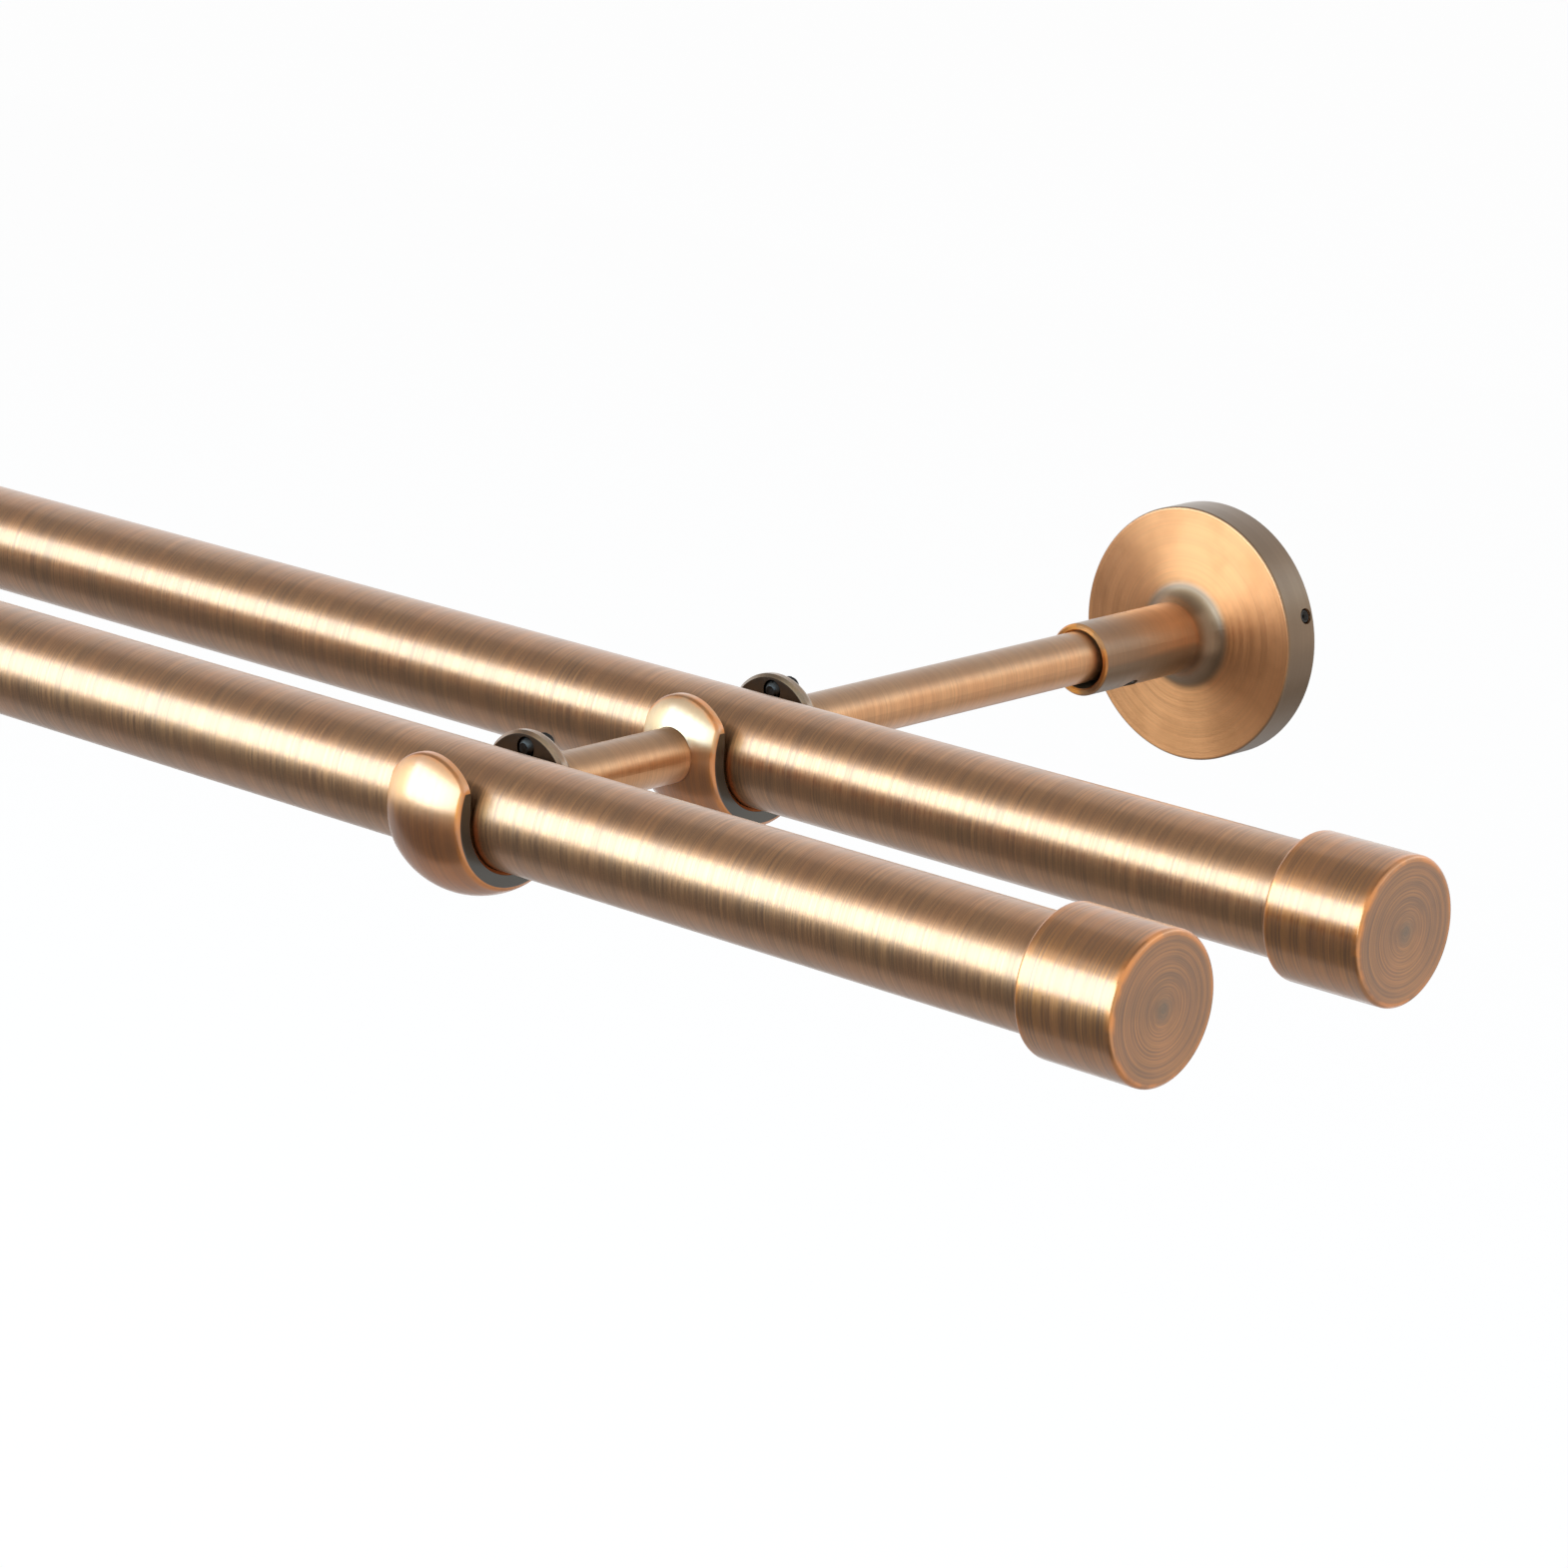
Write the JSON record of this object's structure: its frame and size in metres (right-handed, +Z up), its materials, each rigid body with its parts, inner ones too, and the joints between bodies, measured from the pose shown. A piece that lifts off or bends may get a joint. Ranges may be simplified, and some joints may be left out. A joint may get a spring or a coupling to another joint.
{
  "type": "double curtain pole",
  "caption": "Double curtain pole in antique copper: parallel round tubes with plain cylinder end caps, carried in ball-shaped cups on wall brackets with round roses.",
  "frame": {"origin": "on the wall plane, midway between the two wall roses, at the height of their axes", "axes": "+X along the poles to the right as seen from the room, +Y into the wall, +Z up"},
  "size_m": [1.0068, 0.2162, 0.05],
  "materials": {
    "pole_copper": "steel tube, antique copper plate, brushed round its circumference",
    "cap_copper": "turned steel, antique copper plate, brushed round its axis, edges worn bright",
    "rose_copper": "turned steel, antique copper plate, brushed in rings",
    "arm_copper": "steel rod, antique copper plate, brushed round its axis",
    "cup_copper": "turned and milled steel, antique copper plate, edges worn bright",
    "plate_steel": "plain zinc-plated steel",
    "black_steel": "black oxide screw steel"
  },
  "bodies": {
    "root": {"front_pole": "pole_copper", "rear_pole": "pole_copper", "front_left_cap": "cap_copper", "front_right_cap": "cap_copper", "rear_left_cap": "cap_copper", "rear_right_cap": "cap_copper", "left_wall_plate": "plate_steel", "right_wall_plate": "plate_steel", "left_rose": "rose_copper", "right_rose": "rose_copper", "left_rear_arm": "arm_copper", "right_rear_arm": "arm_copper", "left_front_arm": "arm_copper", "right_front_arm": "arm_copper", "left_rear_cup": "cup_copper", "right_rear_cup": "cup_copper", "left_front_cup": "cup_copper", "right_front_cup": "cup_copper", "pole_clamp_screws": "black_steel", "hub_grub_screws": "black_steel", "rose_rim_screws": "black_steel", "cap_grub_screws": "black_steel", "cup_fixing_screws": "black_steel"}
  },
  "joints": []
}
